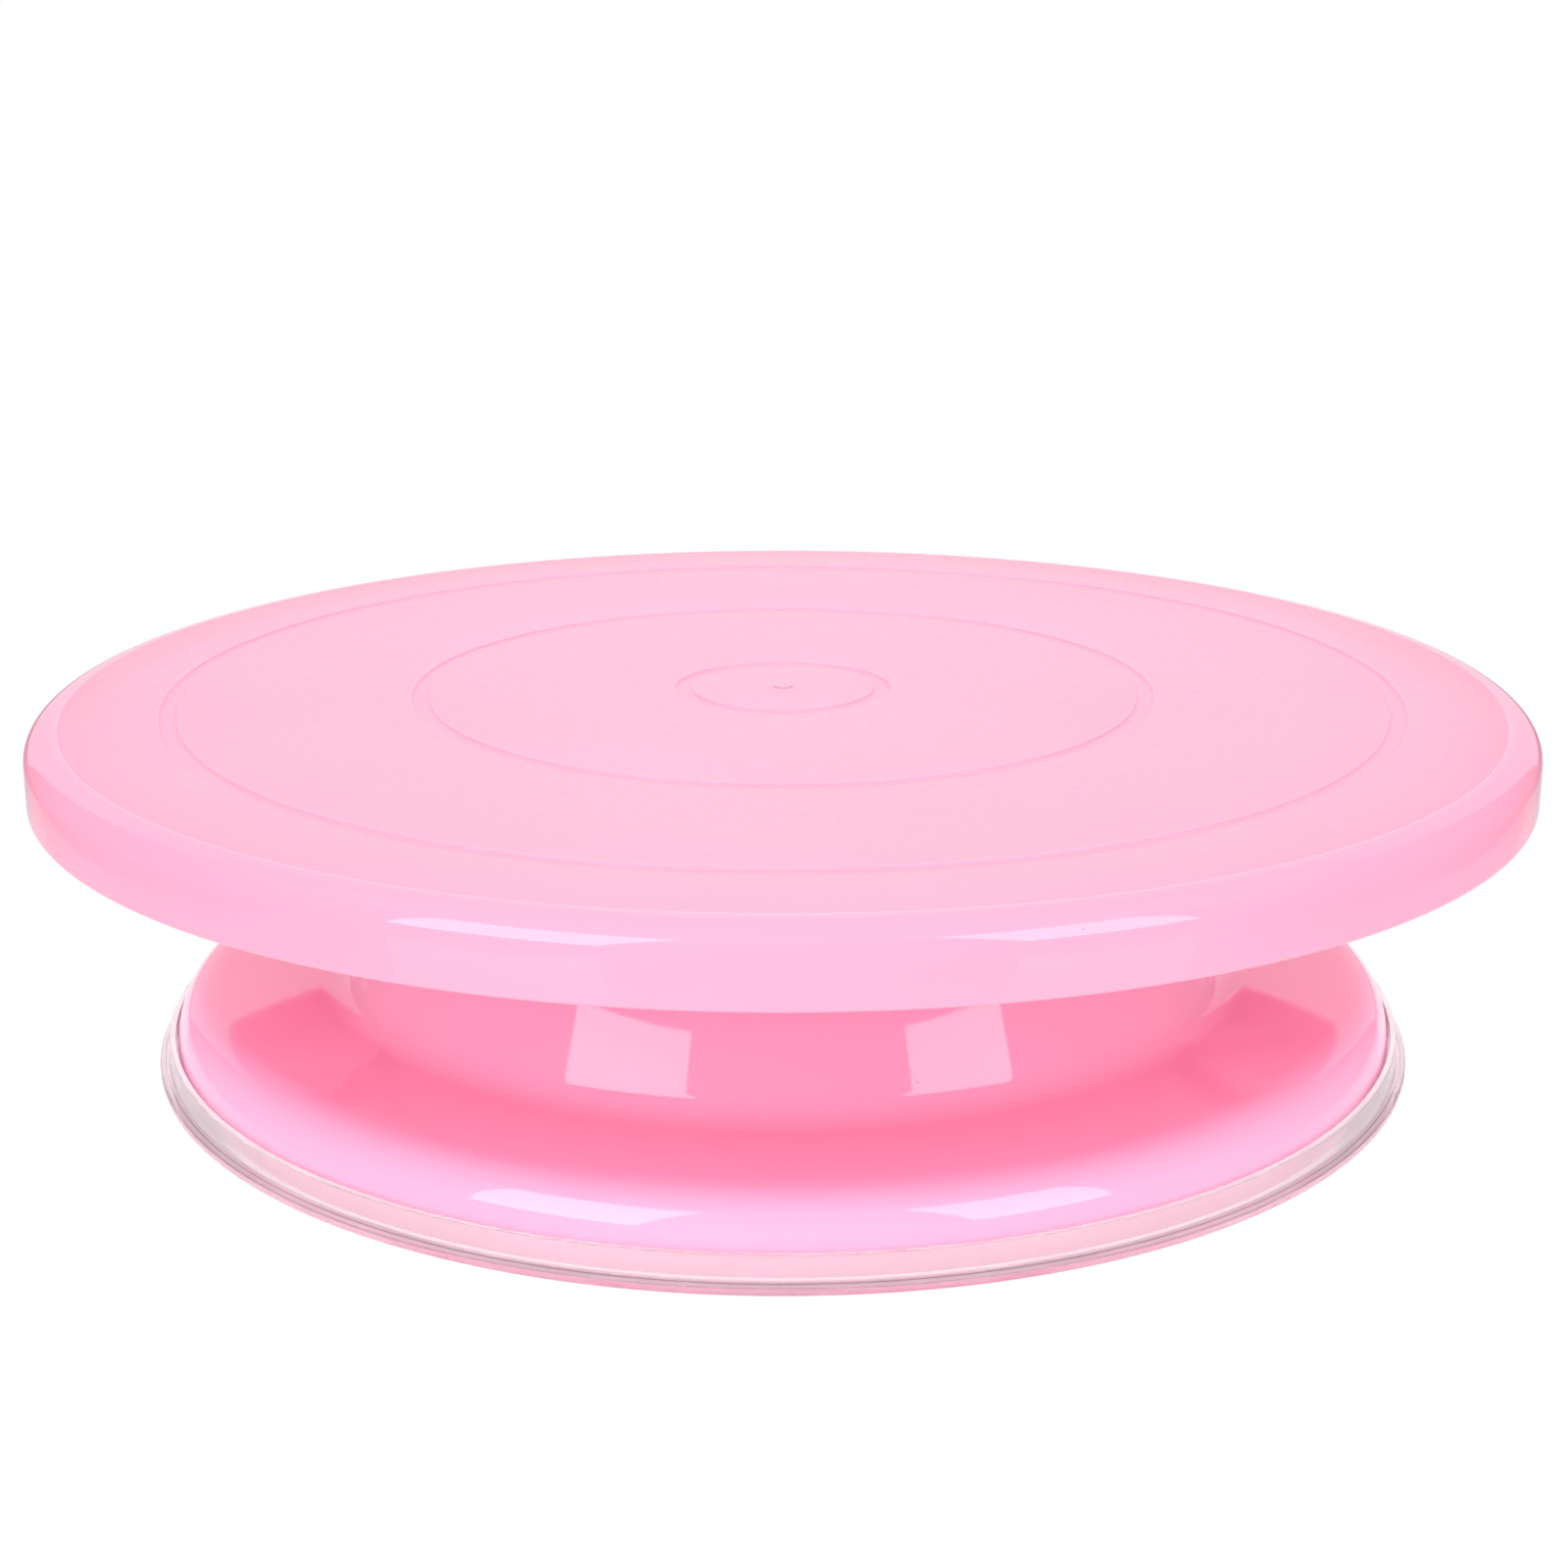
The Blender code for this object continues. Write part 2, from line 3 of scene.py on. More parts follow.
import bmesh
import bpy
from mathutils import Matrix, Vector


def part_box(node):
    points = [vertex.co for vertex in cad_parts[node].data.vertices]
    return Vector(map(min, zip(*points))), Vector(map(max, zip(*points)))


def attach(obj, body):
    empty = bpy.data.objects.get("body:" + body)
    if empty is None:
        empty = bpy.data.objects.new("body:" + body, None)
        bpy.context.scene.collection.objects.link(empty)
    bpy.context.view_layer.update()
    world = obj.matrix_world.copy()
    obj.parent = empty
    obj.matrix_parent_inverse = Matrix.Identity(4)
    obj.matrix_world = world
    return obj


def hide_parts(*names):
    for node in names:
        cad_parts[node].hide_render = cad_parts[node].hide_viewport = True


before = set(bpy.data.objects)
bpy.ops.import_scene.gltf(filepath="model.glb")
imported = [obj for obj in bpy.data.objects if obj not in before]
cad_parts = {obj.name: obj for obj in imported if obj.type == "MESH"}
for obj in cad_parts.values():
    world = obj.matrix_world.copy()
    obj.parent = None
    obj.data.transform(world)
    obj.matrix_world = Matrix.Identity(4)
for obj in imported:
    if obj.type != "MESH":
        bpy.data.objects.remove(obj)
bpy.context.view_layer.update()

MM = 0.001

# ---------------------------------------------------------------- sizes, from the frame where it has them
PLATE_LOW, PLATE_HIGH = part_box("turntable_plate")
SHELL_LOW, SHELL_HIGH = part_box("base_shell")
RING_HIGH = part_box("anti_slip_ring")[1]
LOWER_RACE_LOW, LOWER_RACE_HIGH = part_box("lower_race")
UPPER_RACE_LOW, UPPER_RACE_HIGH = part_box("upper_race")
BUSH_LOW, BUSH_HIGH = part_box("hub_bush")
WASHER_LOW, WASHER_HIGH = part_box("retaining_washer")
SCREW_LOW, SCREW_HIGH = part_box("retaining_screw")
CAGE_LOW, CAGE_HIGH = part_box("ball_retainer")
BALL_LOW, BALL_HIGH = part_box("ball_01")

PIP_RADIUS = 1.9 * MM              # the gate mark at the plate's centre
PIP_HEIGHT = 0.3 * MM
PLATE_RADIUS = PLATE_HIGH.x
PLATE_TOP = PLATE_HIGH.z - PIP_HEIGHT
PLATE_THICKNESS = 2.6 * MM
PLATE_UNDERSIDE = PLATE_TOP - PLATE_THICKNESS
SKIRT_WALL = 2.4 * MM
SKIRT_BOTTOM = PLATE_TOP - 13.0 * MM
EDGE_RUN = 6.1 * MM               # the plate's edge is an ellipse, this far in and down from its corner
EDGE_DROP = 5.0 * MM
GROOVE_OUTER_RADII = (20.5 * MM, 70.1 * MM, 116.2 * MM)
GROOVE_WIDTH = 3.3 * MM
GROOVE_DEPTH = 0.45 * MM
GRAIN_RADIUS = PLATE_RADIUS - EDGE_RUN   # the satin grain ends at a fine line where the edge starts
HUB_RADIUS = 9.0 * MM
HUB_BOTTOM = PLATE_LOW.z
PLATE_SPOKES = 12                # stiffening ribs under the plate
SPOKE_DEPTH = 4.0 * MM
RING_RIB_RADII = (105.0 * MM, 72.0 * MM)   # the round ribs that the spokes cross
RING_RIB_DEPTH = 4.5 * MM
PLATE_RIB_THICKNESS = 1.6 * MM

DECK_TOP = SHELL_HIGH.z
SHELL_BOTTOM = SHELL_LOW.z
SHELL_WALL = 2.4 * MM
FLANGE_RADIUS = SHELL_HIGH.x
FLANGE_TOP = 14.0 * MM
DRUM_TOP_RADIUS = 69.4 * MM
DRUM_FOOT_RADIUS = 85.1 * MM        # where the drum's slope and the flange would meet
DRUM_TOP_ROUNDING = 3.0 * MM
DRUM_FOOT_ROUNDING = 6.3 * MM
RIM_START_RADIUS = 106.3 * MM      # the foot's rim is a superellipse from here out
RIM_SPRING = 2.0 * MM
RIM_POWER = 2.6
BASE_SPOKES = 8                  # ribs under the pedestal's deck
BASE_GUSSETS = 16                # ribs under the flange
BASE_RIB_THICKNESS = 1.8 * MM
RIB_PHASE_DEG = 3.75             # turn of the first rib from the X axis

BEAD_REACH = 1.5 * MM            # the clear ring's bead stands out this far past its wall
BEAD_CREASE = 0.45 * MM          # from the foot of that wall to the middle of the crease, where a line of painted shade runs

GAP = 0.3 * MM                    # clearance between pieces that touch
BITE = 0.4 * MM                  # how far a rib runs into the walls that it joins
BALL_RADIUS = (BALL_HIGH.z - BALL_LOW.z) / 2.0
BALL_HEIGHT = (BALL_HIGH.z + BALL_LOW.z) / 2.0
BALL_COUNT = sum(name.startswith("ball_") and name != "ball_retainer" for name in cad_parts)
PITCH_RADIUS = (BALL_HIGH.x + BALL_LOW.x) / 2.0
RACE_HALF_WIDTH = LOWER_RACE_HIGH.x - PITCH_RADIUS

SCREW_RADIUS = 2.0 * MM
BORE_RADIUS = HUB_RADIUS + 2.6 * MM
BOSS_WALL = 4.0 * MM
BOSS_BOTTOM = BUSH_LOW.z
RACE_SEAT = LOWER_RACE_LOW.z - GAP
SLOT_WING = 2.3 * MM             # reach of the screw's cross slot at the head's face
SLOT_DEPTH = 1.5 * MM
SLOT_WIDTH = 1.0 * MM

FINE = 256                       # segments round the large pieces
MEDIUM = 128                     # segments round the bearing pieces
SMALL = 64                       # segments round the pieces at the axis
SHARP_DEG = 35.0                 # edges that turn more than this shade as sharp
MOULDED_SHARP_DEG = 50.0         # the same on the two mouldings, whose roundings have few points


# ---------------------------------------------------------------- outlines
def arc(centre_r, centre_z, radius, start_deg, end_deg, steps=10):
    """Points of a circular arc; 0 degrees is outwards, 90 degrees is up."""
    points = []
    for step in range(steps + 1):
        angle = math.radians(start_deg + (end_deg - start_deg) * step / steps)
        points.append((centre_r + radius * math.cos(angle), centre_z + radius * math.sin(angle)))
    return points


def rounded(corners, steps=6):
    """An outline from (radius, height, rounding) corners, each sharp corner replaced by an arc."""
    points = []
    for index, (radius, height, rounding) in enumerate(corners):
        inner = 0 < index < len(corners) - 1
        if rounding <= 0.0 or not inner:
            points.append((radius, height))
            continue
        tip = Vector((radius, height))
        before = (Vector(corners[index - 1][:2]) - tip).normalized()
        after = (Vector(corners[index + 1][:2]) - tip).normalized()
        half_angle = before.angle(after) / 2.0
        centre = tip + (before + after).normalized() * (rounding / math.sin(half_angle))
        reach = rounding / math.tan(half_angle)
        first = tip + before * reach - centre
        last = tip + after * reach - centre
        start = math.atan2(first.y, first.x)
        turn = math.atan2(first.cross(last), first.dot(last))
        points += arc(centre.x, centre.y, rounding, math.degrees(start), math.degrees(start + turn), steps)
    return points


def superellipse(centre_r, centre_z, half_width, half_height, power, steps):
    """Quarter outline from straight above the centre, outwards and down, to level with it."""
    points = []
    for step in range(steps + 1):
        angle = math.pi / 2.0 * (1.0 - step / steps)
        across = max(math.cos(angle), 0.0) ** (2.0 / power)
        up = max(math.sin(angle), 0.0) ** (2.0 / power)
        points.append((centre_r + half_width * across, centre_z + half_height * up))
    return points


# ---------------------------------------------------------------- mesh tools
def link(name, data):
    """A new object in the scene."""
    obj = bpy.data.objects.new(name, data)
    bpy.context.collection.objects.link(obj)
    return obj


def mark_sharp(data, sharp_deg=SHARP_DEG):
    data.set_sharp_from_angle(angle=math.radians(sharp_deg))


def finish_mesh(mesh, name, sharp_deg=SHARP_DEG):
    """Turn a bmesh into a smooth-shaded object with its real edges kept sharp."""
    bmesh.ops.recalc_face_normals(mesh, faces=mesh.faces)
    data = bpy.data.meshes.new(name)
    mesh.to_mesh(data)
    mesh.free()
    data.shade_smooth()
    mark_sharp(data, sharp_deg)
    return link(name, data)


def turned(name, outline, segments, closed=True, sharp_deg=SHARP_DEG):
    """Sweep an outline once round the Z axis; an open outline starts and ends on the axis."""
    mesh = bmesh.new()
    verts = [mesh.verts.new((radius, 0.0, height)) for radius, height in outline]
    pairs = list(zip(verts, verts[1:]))
    if closed:
        pairs.append((verts[-1], verts[0]))
    edges = [mesh.edges.new(pair) for pair in pairs]
    bmesh.ops.spin(mesh, geom=verts + edges, cent=(0, 0, 0), axis=(0, 0, 1),
                   angle=math.tau, steps=segments, use_merge=True)
    bmesh.ops.remove_doubles(mesh, verts=mesh.verts, dist=0.0005 * MM)
    return finish_mesh(mesh, name, sharp_deg)


def rib_set(name, count, inner, outer, bottom, top, thickness, phase_deg):
    """A ring of radial ribs for a Boolean; inner and outer are (reach low down, reach high up)."""
    mesh = bmesh.new()
    for index in range(count):
        angle = math.radians(phase_deg) + math.tau * index / count
        along = Vector((math.cos(angle), math.sin(angle), 0.0))
        across = Vector((-along.y, along.x, 0.0)) * thickness / 2.0
        corners = []
        for level, height in enumerate((bottom, top)):
            lift = Vector((0.0, 0.0, height))
            for reach, side in ((inner, -1), (outer, -1), (outer, 1), (inner, 1)):
                corners.append(mesh.verts.new(along * reach[level] + across * side + lift))
        for face in ((0, 3, 2, 1), (4, 5, 6, 7), (0, 1, 5, 4), (1, 2, 6, 5), (2, 3, 7, 6), (3, 0, 4, 7)):
            mesh.faces.new([corners[corner] for corner in face])
    return finish_mesh(mesh, name)


def combine(obj, tool, operation):
    """Join a tool's solid to obj, or cut it away, and drop the tool."""
    boolean = obj.modifiers.new(tool.name, 'BOOLEAN')
    boolean.operation = operation
    boolean.solver = 'MANIFOLD'
    boolean.object = tool
    apply_modifiers(obj)
    bpy.data.objects.remove(tool, do_unlink=True)


def apply_modifiers(obj):
    """Replace obj's mesh by what its modifiers make of it."""
    bpy.context.view_layer.update()
    graph = bpy.context.evaluated_depsgraph_get()
    baked = bpy.data.meshes.new_from_object(obj.evaluated_get(graph), depsgraph=graph)
    obj.modifiers.clear()
    obj.data = baked


def paint(obj, *materials, zone=None):
    """Give obj its materials; zone(radius, height) picks one for each face."""
    obj.data.materials.clear()
    for material in materials:
        obj.data.materials.append(material)
    for face in obj.data.polygons:
        face.material_index = 0
        if zone is not None:
            face.material_index = zone(math.hypot(face.center.x, face.center.y), face.center.z)


def place(obj, body, slot, *nodes):
    """Hide the frame nodes that obj stands for and hang obj on the body that it rides; slot, what it is
    made of, is not used.
    """
    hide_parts(*nodes)
    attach(obj, body)


# ---------------------------------------------------------------- material tools
SPECK_COLOUR = (0.50, 0.22, 0.28)


class Recipe:
    """A procedural material: a Principled shader and the nodes that feed it, in object coordinates."""

    def __init__(self, name, colour, roughness, metallic=0.0, **uniform):
        self.material = bpy.data.materials.new(name)
        self.material.use_nodes = True
        self.tree = self.material.node_tree
        self.shader = self.tree.nodes["Principled BSDF"]
        self.shader.inputs["Base Color"].default_value = (*colour, 1.0)
        self.shader.inputs["Roughness"].default_value = roughness
        self.shader.inputs["Metallic"].default_value = metallic
        for socket, value in uniform.items():
            self.shader.inputs[socket.replace("_", " ")].default_value = value
        self.place = self.node("ShaderNodeTexCoord").outputs["Object"]
        self.height = None

    def node(self, kind, **values):
        made = self.tree.nodes.new(kind)
        for key, value in values.items():
            setattr(made, key, value)
        return made

    def join(self, source, target):
        self.tree.links.new(source, target)

    def noise(self, scale, detail=2.0):
        """Soft noise; scale is in features per metre."""
        texture = self.node("ShaderNodeTexNoise")
        texture.inputs["Scale"].default_value = scale
        texture.inputs["Detail"].default_value = detail
        self.join(self.place, texture.inputs["Vector"])
        return texture.outputs["Fac"]

    def radius(self):
        """Distance from the spin axis, in metres."""
        flat = self.node("ShaderNodeVectorMath", operation='MULTIPLY')
        flat.inputs[1].default_value = (1.0, 1.0, 0.0)
        self.join(self.place, flat.inputs[0])
        length = self.node("ShaderNodeVectorMath", operation='LENGTH')
        self.join(flat.outputs["Vector"], length.inputs[0])
        return length.outputs["Value"]

    def rings(self, spacing):
        """Fine turning marks round the spin axis."""
        scaled = self.node("ShaderNodeMath", operation='DIVIDE')
        scaled.inputs[1].default_value = spacing
        self.join(self.radius(), scaled.inputs[0])
        texture = self.node("ShaderNodeTexNoise", noise_dimensions='1D')
        texture.inputs["Scale"].default_value = 1.0
        texture.inputs["Detail"].default_value = 3.0
        self.join(scaled.outputs["Value"], texture.inputs["W"])
        return texture.outputs["Fac"]

    def spread(self, source, low, high, source_low=0.35, source_high=0.65):
        """Map a texture's useful range to low..high."""
        spread = self.node("ShaderNodeMapRange")
        spread.inputs["From Min"].default_value = source_low
        spread.inputs["From Max"].default_value = source_high
        spread.inputs["To Min"].default_value = low
        spread.inputs["To Max"].default_value = high
        self.join(source, spread.inputs["Value"])
        return spread.outputs["Result"]

    def tint(self, source, first, second):
        """Base colour between two near shades."""
        mix = self.node("ShaderNodeMix", data_type='RGBA')
        mix.inputs["A"].default_value = (*first, 1.0)
        mix.inputs["B"].default_value = (*second, 1.0)
        self.join(source, mix.inputs["Factor"])
        self.join(mix.outputs["Result"], self.shader.inputs["Base Color"])

    def specks(self, spacing, size, share):
        """Sparse dark specks in the base colour, one to a cell in a share of the cells."""
        cells = self.node("ShaderNodeTexVoronoi")
        cells.inputs["Scale"].default_value = 1.0 / spacing
        self.join(self.place, cells.inputs["Vector"])
        near = self.spread(cells.outputs["Distance"], 1.0, 0.0, 0.5 * size / spacing, size / spacing)
        split = self.node("ShaderNodeSeparateColor")
        self.join(cells.outputs["Color"], split.inputs["Color"])
        chosen = self.node("ShaderNodeMath", operation='LESS_THAN')
        chosen.inputs[1].default_value = share
        self.join(split.outputs["Red"], chosen.inputs[0])
        speck = self.node("ShaderNodeMath", operation='MULTIPLY')
        self.join(near, speck.inputs[0])
        self.join(chosen.outputs["Value"], speck.inputs[1])
        self.overlay(speck.outputs["Value"], SPECK_COLOUR)

    def shade_circles(self, radii, half_width, colour):
        """Faint dark lines of painted shade in the base colour, at these distances from the spin axis."""
        distance = self.radius()
        line = None
        for radius in radii:
            offset = self.node("ShaderNodeMath", operation='SUBTRACT')
            offset.inputs[1].default_value = radius
            self.join(distance, offset.inputs[0])
            size = self.node("ShaderNodeMath", operation='ABSOLUTE')
            self.join(offset.outputs["Value"], size.inputs[0])
            here = self.spread(size.outputs["Value"], 1.0, 0.0, 0.7 * half_width, half_width)
            if line is not None:
                both = self.node("ShaderNodeMath", operation='MAXIMUM')
                self.join(line, both.inputs[0])
                self.join(here, both.inputs[1])
                here = both.outputs["Value"]
            line = here
        self.overlay(line, colour)

    def overlay(self, source, colour):
        """Mix a colour over the base colour where the source is 1."""
        mix = self.node("ShaderNodeMix", data_type='RGBA')
        mix.inputs["B"].default_value = (*colour, 1.0)
        self.join(source, mix.inputs["Factor"])
        self.join(self.shader.inputs["Base Color"].links[0].from_socket, mix.inputs["A"])
        self.join(mix.outputs["Result"], self.shader.inputs["Base Color"])

    def sheen_of(self, source, low, high):
        """Roughness that varies with a texture."""
        self.join(self.spread(source, low, high), self.shader.inputs["Roughness"])

    def bump(self, source, distance, strength=1.0):
        """Add relief; distance is in metres.  Calls stack, finest last."""
        bump = self.node("ShaderNodeBump")
        bump.inputs["Strength"].default_value = strength
        bump.inputs["Distance"].default_value = distance
        self.join(source, bump.inputs["Height"])
        if self.height is not None:
            self.join(self.height, bump.inputs["Normal"])
        self.height = bump.outputs["Normal"]
        self.join(self.height, self.shader.inputs["Normal"])


def satin_pink():
    """The flat top: a fine moulded grain under an even pink, with a few specks and painted shade along the
    groove walls and round the gate mark.
    """
    pink, deep = (0.99, 0.348, 0.482), (0.985, 0.335, 0.465)
    recipe = Recipe("plate_satin_pink", pink, 0.42)
    recipe.tint(recipe.spread(recipe.noise(14.0), 0.0, 1.0), pink, deep)
    walls = [outer - inset for outer in GROOVE_OUTER_RADII for inset in (0.0, GROOVE_WIDTH)]
    # painted shade: a dark line along each groove wall
    recipe.shade_circles(walls, 0.14 * MM, (0.80, 0.42, 0.56))
    # painted shade: a dark ring round the edge of the gate mark
    recipe.shade_circles([0.94 * PIP_RADIUS], 0.16 * MM, (0.60, 0.28, 0.40))
    recipe.specks(22.0 * MM, 0.35 * MM, 0.10)
    recipe.sheen_of(recipe.noise(900.0, detail=3.0), 0.38, 0.50)
    recipe.bump(recipe.noise(22.0), 0.10 * MM, 0.25)
    recipe.bump(recipe.noise(1500.0, detail=2.0), 0.03 * MM, 0.35)
    return recipe.material


def polished_pink(name, pink, deep):
    """Polished moulded plastic: a faint waviness, softer patches in the gloss and a few specks."""
    recipe = Recipe(name, pink, 0.05)
    recipe.tint(recipe.spread(recipe.noise(11.0), 0.0, 1.0), pink, deep)
    recipe.specks(7.0 * MM, 0.22 * MM, 0.22)
    recipe.sheen_of(recipe.noise(160.0, detail=4.0), 0.03, 0.06)
    recipe.bump(recipe.noise(30.0), 0.08 * MM, 0.12)
    return recipe.material


def clear_soft_plastic():
    """Clear but not quite colourless; painted shade darkens the bead's crease and its outer face at the
    foot.
    """
    foot = RING_HIGH.x
    recipe = Recipe("clear_soft_plastic", (0.95, 0.90, 0.92), 0.05,
                    Transmission_Weight=0.76, IOR=1.36)
    recipe.tint(recipe.spread(recipe.noise(20.0), 0.0, 1.0), (0.98, 0.905, 0.94), (0.965, 0.89, 0.925))
    # painted shade: the bead's outer face darker where it stands on the floor
    recipe.shade_circles([foot], 0.30 * MM, (0.74, 0.50, 0.57))
    # painted shade: a dark line in the bead's crease
    recipe.shade_circles([foot - BEAD_REACH + BEAD_CREASE], 0.12 * MM, (0.50, 0.32, 0.38))
    recipe.sheen_of(recipe.noise(220.0, detail=3.0), 0.04, 0.10)
    recipe.bump(recipe.noise(45.0), 0.10 * MM, 0.05)
    return recipe.material


def turned_steel():
    """Steel with fine turning marks, for the races."""
    recipe = Recipe("turned_steel", (0.60, 0.60, 0.61), 0.28, metallic=1.0)
    recipe.tint(recipe.spread(recipe.noise(60.0), 0.0, 1.0), (0.62, 0.62, 0.63), (0.55, 0.55, 0.57))
    recipe.sheen_of(recipe.rings(0.15 * MM), 0.20, 0.36)
    recipe.bump(recipe.rings(0.15 * MM), 0.01 * MM, 0.5)
    return recipe.material


def ball_steel():
    """Polished ball steel with a little wear in its gloss."""
    recipe = Recipe("ball_steel", (0.74, 0.74, 0.76), 0.08, metallic=1.0)
    recipe.tint(recipe.spread(recipe.noise(400.0), 0.0, 1.0), (0.76, 0.76, 0.78), (0.70, 0.70, 0.72))
    recipe.sheen_of(recipe.noise(2500.0, detail=4.0), 0.05, 0.13)
    return recipe.material


def zinc_plate():
    """Dull zinc plating, for the washer and the screw."""
    recipe = Recipe("zinc_plate", (0.68, 0.69, 0.70), 0.33, metallic=1.0)
    recipe.tint(recipe.spread(recipe.noise(350.0, detail=4.0), 0.0, 1.0),
                (0.71, 0.72, 0.74), (0.62, 0.63, 0.66))
    recipe.sheen_of(recipe.noise(700.0, detail=4.0), 0.26, 0.42)
    recipe.bump(recipe.noise(1200.0, detail=3.0), 0.01 * MM, 0.3)
    return recipe.material


def natural_plastic(name, colour, deep):
    """Undyed engineering plastic, slightly translucent."""
    recipe = Recipe(name, colour, 0.42, Subsurface_Weight=0.2, Subsurface_Scale=2.0 * MM)
    recipe.tint(recipe.spread(recipe.noise(90.0), 0.0, 1.0), colour, deep)
    recipe.sheen_of(recipe.noise(600.0, detail=3.0), 0.36, 0.50)
    recipe.bump(recipe.noise(900.0, detail=2.0), 0.02 * MM, 0.3)
    return recipe.material


# ---------------------------------------------------------------- the plate and what turns with it
def plate_outline():
    """The plate's section: out over the top, round the edge and back below to the hub."""
    soft = 0.12 * MM                 # rounding of the grooves' edges
    line = 0.10 * MM                 # half width of the fine line round the grain
    floor = PLATE_TOP - GROOVE_DEPTH
    seat = UPPER_RACE_HIGH.z + GAP
    race_inner = PITCH_RADIUS - RACE_HALF_WIDTH
    race_outer = PITCH_RADIUS + RACE_HALF_WIDTH
    lip_outer = race_outer + GAP + SKIRT_WALL
    lip_bottom = UPPER_RACE_HIGH.z - 1.1 * MM
    wall = 3.0 * MM
    inner_wall = PLATE_RADIUS - SKIRT_WALL
    top = [(0.0, PLATE_TOP + PIP_HEIGHT, 0.0), (PIP_RADIUS * 0.88, PLATE_TOP + PIP_HEIGHT, soft),
           (PIP_RADIUS, PLATE_TOP, 0.0)]
    for outer in GROOVE_OUTER_RADII:
        inner = outer - GROOVE_WIDTH
        top += [(inner, PLATE_TOP, soft), (inner, floor, soft)]
        top += [(outer, floor, soft), (outer, PLATE_TOP, soft)]
    top += [(GRAIN_RADIUS - 2.0 * line, PLATE_TOP, 0.0), (GRAIN_RADIUS - line, PLATE_TOP - line, 0.0)]
    top += [(GRAIN_RADIUS, PLATE_TOP, 0.0)]
    edge = superellipse(GRAIN_RADIUS, PLATE_TOP - EDGE_DROP, EDGE_RUN, EDGE_DROP, 2.0, 24)[1:]
    skirt = [(*edge[-1], 0.0), (PLATE_RADIUS, SKIRT_BOTTOM, 0.7 * MM), (inner_wall, SKIRT_BOTTOM, 0.5 * MM),
             (inner_wall, PLATE_UNDERSIDE, EDGE_DROP - SKIRT_WALL)]
    half = PLATE_RIB_THICKNESS / 2.0
    bottom = PLATE_UNDERSIDE - RING_RIB_DEPTH
    for radius in RING_RIB_RADII:
        skirt += [(radius + half, PLATE_UNDERSIDE, 0.4 * MM), (radius + half, bottom, 0.3 * MM),
                  (radius - half, bottom, 0.3 * MM), (radius - half, PLATE_UNDERSIDE, 0.4 * MM)]
    boss = [(lip_outer, PLATE_UNDERSIDE, 0.5 * MM), (lip_outer, lip_bottom, 0.4 * MM)]
    boss += [(race_outer + GAP, lip_bottom, 0.4 * MM), (race_outer + GAP, seat, 0.0)]
    boss += [(race_outer - wall, seat, 0.3 * MM), (race_outer - wall, PLATE_UNDERSIDE, 0.4 * MM)]
    boss += [(race_inner + wall, PLATE_UNDERSIDE, 0.4 * MM), (race_inner + wall, seat, 0.3 * MM)]
    boss += [(race_inner, seat, 0.3 * MM), (race_inner, PLATE_UNDERSIDE, 0.5 * MM)]
    tube_inner = HUB_RADIUS - SKIRT_WALL
    screw_boss = 4.4 * MM
    pilot = SCREW_RADIUS + GAP
    pilot_top = SCREW_HIGH.z + 4.0 * MM
    core_top = PLATE_UNDERSIDE - PLATE_THICKNESS
    hub = [(HUB_RADIUS, PLATE_UNDERSIDE, 0.8 * MM), (HUB_RADIUS, HUB_BOTTOM, 0.4 * MM)]
    hub += [(tube_inner, HUB_BOTTOM, 0.3 * MM), (tube_inner, core_top, 0.0), (screw_boss, core_top, 0.0)]
    hub += [(screw_boss, HUB_BOTTOM, 0.3 * MM), (pilot, HUB_BOTTOM, 0.0), (pilot, pilot_top, 0.0)]
    hub += [(0.0, pilot_top, 0.0)]
    return rounded(top, 4) + edge + rounded(skirt + boss + hub, 5)[1:]


def make_plate(satin, polish):
    reach = PITCH_RADIUS + RACE_HALF_WIDTH + GAP + SKIRT_WALL - BITE
    skirt_reach = PLATE_RADIUS - SKIRT_WALL + BITE
    plate = turned("cake_plate", plate_outline(), FINE, closed=False, sharp_deg=MOULDED_SHARP_DEG)
    spokes = rib_set("plate_spokes", PLATE_SPOKES, (reach, reach), (skirt_reach, skirt_reach - BITE),
                     PLATE_UNDERSIDE - SPOKE_DEPTH, PLATE_UNDERSIDE + BITE,
                     PLATE_RIB_THICKNESS, RIB_PHASE_DEG)
    combine(plate, spokes, 'UNION')
    mark_sharp(plate.data, MOULDED_SHARP_DEG)
    grain_low = PLATE_TOP - GROOVE_DEPTH - 0.05 * MM
    grain_edge = GRAIN_RADIUS - 0.2 * MM
    paint(plate, satin, polish,
          zone=lambda radius, height: 0 if height > grain_low and radius < grain_edge else 1)
    place(plate, "plate", "plate_pink", "turntable_plate")


def race_outline(back, face, sign):
    """A race with a ball groove; sign is +1 where the groove faces up."""
    inner = PITCH_RADIUS - RACE_HALF_WIDTH
    outer = PITCH_RADIUS + RACE_HALF_WIDTH
    groove_radius = BALL_RADIUS + GAP
    rise = abs(face - BALL_HEIGHT)
    half_deg = math.degrees(math.acos(rise / groove_radius))
    middle = -90.0 * sign
    groove = arc(PITCH_RADIUS, BALL_HEIGHT, groove_radius, middle - half_deg, middle + half_deg, 12)
    if sign < 0:
        groove.reverse()
    chamfer = 0.2 * MM * sign
    left = [(inner, back), (inner, face - chamfer), (inner + abs(chamfer), face)]
    right = [(outer - abs(chamfer), face), (outer, face - chamfer), (outer, back)]
    return left + groove + right


def make_races(steel):
    lower = turned("lower_race_steel", race_outline(LOWER_RACE_LOW.z, LOWER_RACE_HIGH.z, 1), MEDIUM)
    paint(lower, steel)
    place(lower, "base", "race_steel", "lower_race")
    upper = turned("upper_race_steel", race_outline(UPPER_RACE_HIGH.z, UPPER_RACE_LOW.z, -1), MEDIUM)
    paint(upper, steel)
    place(upper, "plate", "race_steel", "upper_race")


